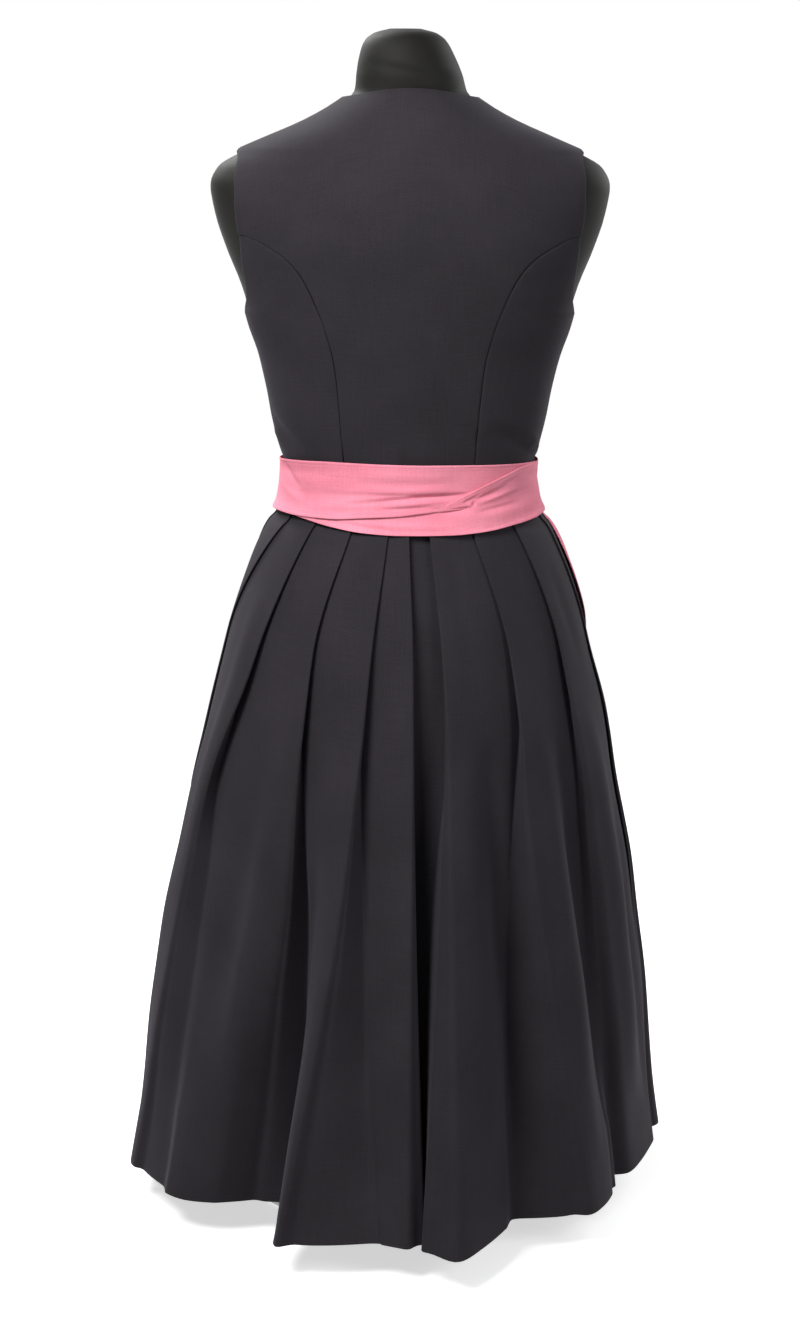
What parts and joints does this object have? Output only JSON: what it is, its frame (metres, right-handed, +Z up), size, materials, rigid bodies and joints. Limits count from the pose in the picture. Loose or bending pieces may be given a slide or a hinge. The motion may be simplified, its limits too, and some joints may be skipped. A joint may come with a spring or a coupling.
{
  "type": "dirndl on a dress form",
  "caption": "Sleeveless princess-seamed dirndl with a pleated midi skirt, and an apron whose wide ties wrap the waist, worn by a limbless dress form on a round base.",
  "frame": {"origin": "centre of the base plate's underside, on the dress form's axis, at floor level", "axes": "+Z up, garment's back towards +Y, its front towards -Y, the wearer's left towards +X"},
  "size_m": [0.5612, 0.6059, 1.178],
  "materials": {
    "cotton": "matte plain weave, charcoal",
    "satin": "pink, fine slubbed weave with a soft sheen",
    "jersey": "black jersey cover",
    "steel": "satin",
    "horn": "semi-matte"
  },
  "bodies": {
    "root": {"form_torso": "jersey", "form_pole": "steel", "form_base": "steel", "bodice_back": "cotton", "bodice_side_back_left": "cotton", "bodice_side_back_right": "cotton", "bodice_side_front_left": "cotton", "bodice_side_front_right": "cotton", "bodice_front_left": "cotton", "bodice_front_right": "cotton", "button_1": "horn", "button_2": "horn", "button_3": "horn", "button_4": "horn", "button_5": "horn", "button_6": "horn", "skirt_back": "cotton", "skirt_front": "cotton", "apron_panel": "satin", "apron_waistband": "satin", "apron_tie_left": "satin", "apron_tie_right": "satin", "bow_knot": "satin", "bow_loop_left": "satin", "bow_loop_right": "satin", "bow_tail_left": "satin", "bow_tail_right": "satin"}
  },
  "joints": []
}
